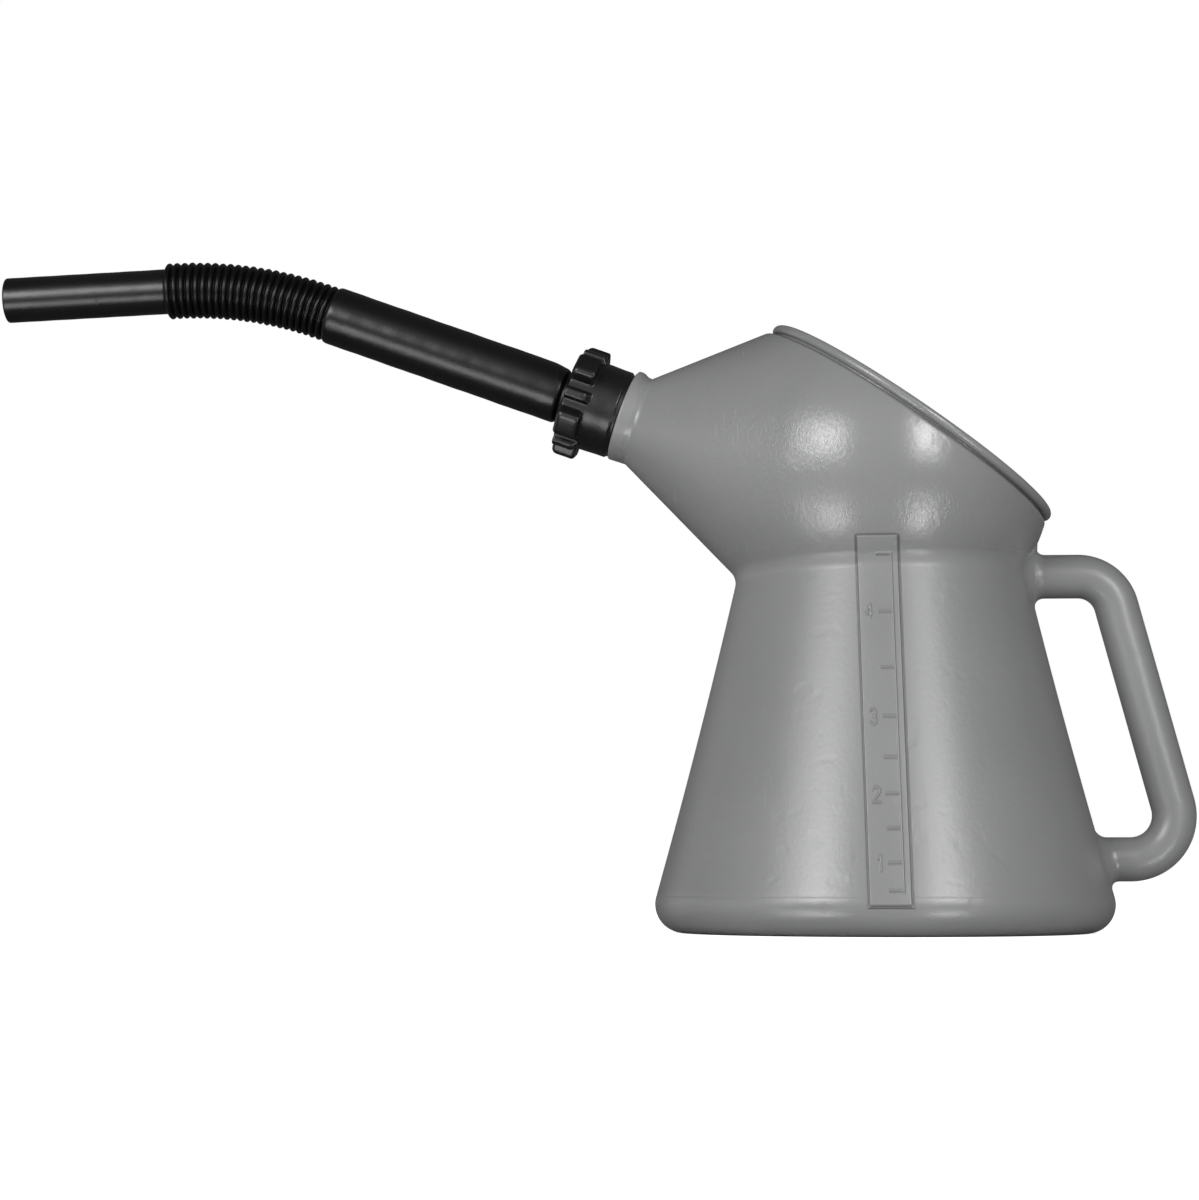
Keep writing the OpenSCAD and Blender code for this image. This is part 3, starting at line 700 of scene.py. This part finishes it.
def blend_colour(tree, amount, first, second):
    """Colour mix of two fixed colours by a mask."""
    node = tree.nodes.new("ShaderNodeMix")
    node.data_type = "RGBA"
    node.inputs[6].default_value = (*first, 1)
    node.inputs[7].default_value = (*second, 1)
    tree.links.new(amount, node.inputs[0])
    return node.outputs[2]


def blend_shaders(tree, amount, first, second):
    """Mix Shader node: the first shader where the mask is 0 and the second where it is 1."""
    node = tree.nodes.new("ShaderNodeMixShader")
    for socket, value in zip(node.inputs, (amount, first, second)):
        tree.links.new(value, socket)
    return node.outputs[0]


def moulded_surface():
    """Orange-peel height of a blown or injected plastic skin, with shallow dents, a mask of tiny pale specks
    and a slow cloud."""
    group, start, end = new_group("moulded_surface", [("Peel", 1.0), ("Dents", 1.0)], ["Height", "Specks", "Cloud"])
    place = group.nodes.new("ShaderNodeTexCoord").outputs["Object"]
    cells = group.nodes.new("ShaderNodeTexVoronoi")
    cells.feature = "SMOOTH_F1"
    cells.inputs["Scale"].default_value = 420
    cells.inputs["Smoothness"].default_value = 0.6
    group.links.new(place, cells.inputs["Vector"])
    peel = product(group, cells.outputs["Distance"], start.outputs["Peel"])
    fine = product(group, noise(group, place, 900, 3, 0.6), 0.5)
    dents = product(group, ramp(group, noise(group, place, 95, 1), 0.62, 0.74), start.outputs["Dents"])
    wave = product(group, noise(group, place, 28, 1), 2.2)
    group.links.new(total(group, peel, fine, maths(group, "SUBTRACT", wave, dents)), end.inputs["Height"])
    group.links.new(ramp(group, noise(group, place, 1300, 1), 0.70, 0.76), end.inputs["Specks"])
    group.links.new(noise(group, place, 9, 3), end.inputs["Cloud"])
    return group


def rubbed_marks():
    """Mask of fine scratches: noise stretched along two directions, cut to thin lines and broken up by a wider
    noise."""
    group, start, end = new_group("rubbed_marks", [("Amount", 1.0)], ["Scratches"])
    place = group.nodes.new("ShaderNodeTexCoord").outputs["Object"]
    lines = []
    for turn, scale in ((0.5, (900, 60, 35)), (-0.9, (700, 50, 45))):
        along = stretched(group, place, (turn * 0.3, turn, turn * 0.5), scale)
        lines.append(ramp(group, noise(group, along, 1, 1), 0.70, 0.76))
    patches = ramp(group, noise(group, place, 22, 2), 0.52, 0.66)
    marks = product(group, maths(group, "MAXIMUM", *lines), patches, start.outputs["Amount"])
    group.links.new(marks, end.inputs["Scratches"])
    return group


def flow_wrinkles(tree, place, axes):
    """Short upright wrinkles that the melt left on the dome's front beside the horn, fading out at their edges.
    Places in materials are in metres."""
    along = stretched(tree, place, (0, 0.5, 0), (880, 480, 400))
    lines = ramp(tree, noise(tree, along, 1, 1, 0.5, 0.8), 0.42, 0.62)
    side = maths(tree, "MAXIMUM", ramp(tree, axes["X"], -0.004, -0.03),
                 product(tree, ramp(tree, axes["Z"], 0.22, 0.206), 0.8))
    front = product(tree, ramp(tree, axes["Y"], -0.03, -0.055), side)
    height = product(tree, ramp(tree, axes["Z"], 0.186, 0.2), ramp(tree, axes["Z"], 0.262, 0.244))
    return product(tree, front, height, lines)


def rubbed_zones(tree, axes):
    """Mask of the duller skin: below the waist, growing with height, and on the collar past the horn's end."""
    low = product(tree, ramp(tree, axes["Z"], 0.188, 0.178), ramp(tree, axes["Z"], -0.1, 0.13))
    along = total(tree, product(tree, axes["X"], SPOUT[0]), product(tree, axes["Z"], SPOUT[2]))
    return maths(tree, "MAXIMUM", low, ramp(tree, along, 0.2015, 0.2035))


def plastic(name, groups, dark, pale, roughness, rough_spread, peel, dents, depth, marks,
            worn=0.0, painted_shade=None, level=0.5):
    """Moulded plastic: cloudy colour with specks, uneven gloss, orange peel in the bump and faint scratches.
    Worn is the roughness added below the waist and on the collar; such plastic also has the dome's wrinkles.
    Where a mesh attribute is named for it, the colour darkens by that attribute: painted shade."""
    material = bpy.data.materials.new(name)
    material.use_nodes = True
    tree = material.node_tree
    shader = tree.nodes["Principled BSDF"]
    shader.inputs["IOR"].default_value = 1.5
    shader.inputs["Specular IOR Level"].default_value = level
    surface = use_group(tree, groups[0], Peel=peel, Dents=dents)
    scratches = use_group(tree, groups[1], Amount=marks)["Scratches"]
    tone = total(tree, product(tree, ramp(tree, surface["Cloud"], 0.3, 0.7), 0.6),
                 product(tree, surface["Specks"], 0.9), product(tree, scratches, 0.5))
    colour = blend_colour(tree, tone, dark, pale)
    if painted_shade:
        # Painted shade: the named attribute darkens the base colour towards a quarter of the dark tone.
        mask = tree.nodes.new("ShaderNodeAttribute")
        mask.attribute_name = painted_shade
        painted_shade_colour = blend_colour(tree, product(tree, mask.outputs["Fac"], 0.75), dark, [0.25 * c for c in dark])
        tree.links.new(colour, painted_shade_colour.node.inputs[6])
        colour = painted_shade_colour
    tree.links.new(colour, shader.inputs["Base Color"])
    gloss = total(tree, product(tree, ramp(tree, surface["Cloud"], 0.25, 0.75), rough_spread),
                  product(tree, scratches, 0.2))
    relief = surface["Height"]
    if worn:
        place = tree.nodes.new("ShaderNodeTexCoord").outputs["Object"]
        axes = split(tree, place)
        gloss = total(tree, gloss, product(tree, rubbed_zones(tree, axes), worn))
        relief = total(tree, relief, product(tree, flow_wrinkles(tree, place, axes), 0.7))
    tree.links.new(total(tree, gloss, roughness), shader.inputs["Roughness"])
    bump = tree.nodes.new("ShaderNodeBump")
    bump.inputs["Distance"].default_value = depth
    bump.inputs["Strength"].default_value = 1.0
    tree.links.new(maths(tree, "SUBTRACT", relief, scratches), bump.inputs["Height"])
    tree.links.new(bump.outputs["Normal"], shader.inputs["Normal"])
    return material


def paint(piece, material):
    """Puts one material on a piece."""
    piece.data.materials.clear()
    piece.data.materials.append(material)


# ---------------------------------------------------------------- studio

def make_camera():
    """Camera at the photograph's place and angle. The picture is 1199 by 1200, so the height sets the lens."""
    focal_pixels, tilt, turn = 3095.755, math.radians(4.978), math.radians(4.811)
    data = bpy.data.cameras.new("photo_camera")
    data.sensor_width = 36
    data.lens = focal_pixels * 36 / 1200
    data.clip_start, data.clip_end = 0.05, 60
    camera = bpy.data.objects.new("photo_camera", data)
    camera.location = (-0.0111, -1.5336, 0.0309)
    camera.rotation_euler = (math.pi / 2 + tilt, 0, turn)
    bpy.context.scene.collection.objects.link(camera)
    bpy.context.scene.camera = camera


def make_light(name, place, width, height, power):
    """Rectangular soft light that faces the middle of the jug."""
    data = bpy.data.lights.new(name, "AREA")
    data.shape = "RECTANGLE"
    data.size, data.size_y = width, height
    data.energy = power
    light = bpy.data.objects.new(name, data)
    light.location = place
    light.rotation_euler = (Vector((0, 0, 0.17)) - Vector(place)).to_track_quat("-Z", "Y").to_euler()
    bpy.context.scene.collection.objects.link(light)


def make_floor():
    """White floor disc. To the camera its lit part is plain white, so only the object's shadow shows on it.
    Gloss on the object sees it as a polished table that mirrors most of the lights."""
    angle = around(96)
    radius = np.array([0.3, 0.6, 1.2, 2.4, 4.8, 9.6])[:, None] * 1000
    points = np.stack([radius * np.cos(angle), radius * np.sin(angle), 0 * radius * angle], axis=-1)
    index = corner_numbers(len(radius), len(angle))
    floor = put("studio_floor", np.concatenate([points.reshape(-1, 3), [[0, 0, 0]]]), grid_quads(index)[:, ::-1],
                cap(index[0], index.size))
    material = bpy.data.materials.new("white_floor")
    material.use_nodes = True
    tree = material.node_tree
    path = tree.nodes.new("ShaderNodeLightPath").outputs
    matt = tree.nodes["Principled BSDF"]
    matt.inputs["Base Color"].default_value = (0.8, 0.8, 0.8, 1)
    matt.inputs["Roughness"].default_value = 0.9
    polish = tree.nodes.new("ShaderNodeBsdfGlossy")
    polish.inputs["Color"].default_value = (0.72, 0.72, 0.72, 1)
    polish.inputs["Roughness"].default_value = 0.16
    far = tree.nodes.new("ShaderNodeVectorMath")
    far.operation = "LENGTH"
    tree.links.new(tree.nodes.new("ShaderNodeTexCoord").outputs["Object"], far.inputs[0])
    glow = tree.nodes.new("ShaderNodeEmission")
    strength = total(tree, product(tree, ramp(tree, far.outputs["Value"], 0.2, 0.5), 0.14), 0.86)
    tree.links.new(strength, glow.inputs["Strength"])
    seen = tree.nodes.new("ShaderNodeAddShader")
    tree.links.new(matt.outputs[0], seen.inputs[0])
    tree.links.new(glow.outputs[0], seen.inputs[1])
    lit = blend_shaders(tree, path["Is Glossy Ray"], matt.outputs[0], polish.outputs[0])
    lit = blend_shaders(tree, path["Is Camera Ray"], lit, seen.outputs[0])
    tree.links.new(lit, tree.nodes["Material Output"].inputs["Surface"])
    floor.data.materials.append(material)


def make_world():
    """Camera rays see plain white. Other light is dim and even, with a brighter studio in front of the object
    up to 50 degrees. Gloss sees that part brighter still, and a pale panel far to the left."""
    world = bpy.data.worlds.new("studio")
    bpy.context.scene.world = world
    world.use_nodes = True
    tree = world.node_tree
    tree.nodes.clear()
    path = tree.nodes.new("ShaderNodeLightPath").outputs
    axes = split(tree, tree.nodes.new("ShaderNodeTexCoord").outputs["Generated"])
    glossy = maths(tree, "MAXIMUM", path["Is Glossy Ray"], path["Is Transmission Ray"])
    front = product(tree, ramp(tree, axes["Y"], -0.3, -0.6), ramp(tree, axes["Z"], 0.78, 0.6))
    front = product(tree, front, total(tree, product(tree, glossy, 0.2), 0.3))
    left = product(tree, ramp(tree, axes["X"], -0.6, -0.8), ramp(tree, axes["Z"], 0.35, 0.2), glossy, 0.78)
    white = maths(tree, "MAXIMUM", maths(tree, "MAXIMUM", path["Is Camera Ray"], left), front)
    shades = []
    for strength in (0.10, 1.0):
        shade = tree.nodes.new("ShaderNodeBackground")
        shade.inputs["Color"].default_value = (1, 1, 1, 1)
        shade.inputs["Strength"].default_value = strength
        shades.append(shade.outputs[0])
    out = tree.nodes.new("ShaderNodeOutputWorld")
    tree.links.new(blend_shaders(tree, white, *shades), out.inputs["Surface"])


# ---------------------------------------------------------------- assembly

make_camera()
make_world()
make_floor()
make_light("left_softbox", (-0.96, -1.20, 0.68), 1.00, 0.78, 11)
make_light("left_softbox_core", (-0.80, -1.24, 0.69), 0.45, 0.42, 5.2)
make_light("right_softbox", (0.80, -1.32, 0.68), 0.56, 0.80, 8)
make_light("right_softbox_core", (0.76, -1.27, 0.70), 0.28, 0.44, 4.8)
bpy.context.scene.view_settings.view_transform = "Standard"

groups = moulded_surface(), rubbed_marks()
GREY = (0.188, 0.19, 0.19), (0.238, 0.24, 0.24)
jug_plastic = plastic("jug_grey_plastic", groups, *GREY, roughness=0.2, rough_spread=0.06,
                      peel=0.6, dents=1.0, depth=0.00006, marks=0.4, worn=0.14)
# The scale strip's plastic darkens by the strip's attribute of painted shade and painted shadow.
scale_plastic = plastic("scale_grey_plastic", groups, *GREY, roughness=0.32, rough_spread=0.05,
                        peel=1.0, dents=1.2, depth=0.00006, marks=0.4, painted_shade="painted_shade")
nut_plastic = plastic("nut_black_plastic", groups, (0.0025, 0.0025, 0.0028), (0.006, 0.006, 0.0065),
                      roughness=0.3, rough_spread=0.10, peel=0.4, dents=0.8, depth=0.00005, marks=0.5)
tube_plastic = plastic("tube_black_plastic", groups, (0.0022, 0.0022, 0.0025), (0.005, 0.005, 0.0055),
                       roughness=0.26, rough_spread=0.09, peel=0.5, dents=0.8, depth=0.00005, marks=0.7, level=0.38)
hose_plastic = plastic("hose_black_plastic", groups, (0.0015, 0.0015, 0.0017), (0.004, 0.004, 0.0045),
                       roughness=0.24, rough_spread=0.12, peel=0.6, dents=0.3, depth=0.00004, marks=0.6, level=0.25)
seal_rubber = plastic("seal_dark_rubber", groups, (0.014, 0.014, 0.014), (0.035, 0.034, 0.033),
                      roughness=0.62, rough_spread=0.15, peel=0.8, dents=0.6, depth=0.00008, marks=0.3)

pieces = [
    (make_jug_shell(), "jug", "jug_grey", jug_plastic, "jug_body"),
    (make_handle(), "jug", "jug_grey", jug_plastic, None),
    (make_scale_strip(), "jug", "jug_grey", scale_plastic, None),
    (make_nut(), "nut", "nut_black", nut_plastic, "union_nut"),
    (make_spout_tube(), "spout", "tube_black", tube_plastic, "spout_tube"),
    (make_outlet(), "outlet", "tube_black", tube_plastic, "outlet_tube"),
]
for piece, body, slot, material, node in pieces:
    paint(piece, material)
    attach(piece, body)
    if node:
        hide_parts(node)

hose = make_hose()
paint(hose, hose_plastic)
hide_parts("spout_hose")
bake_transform(hose)
paint(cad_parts["neck_seal"], seal_rubber)
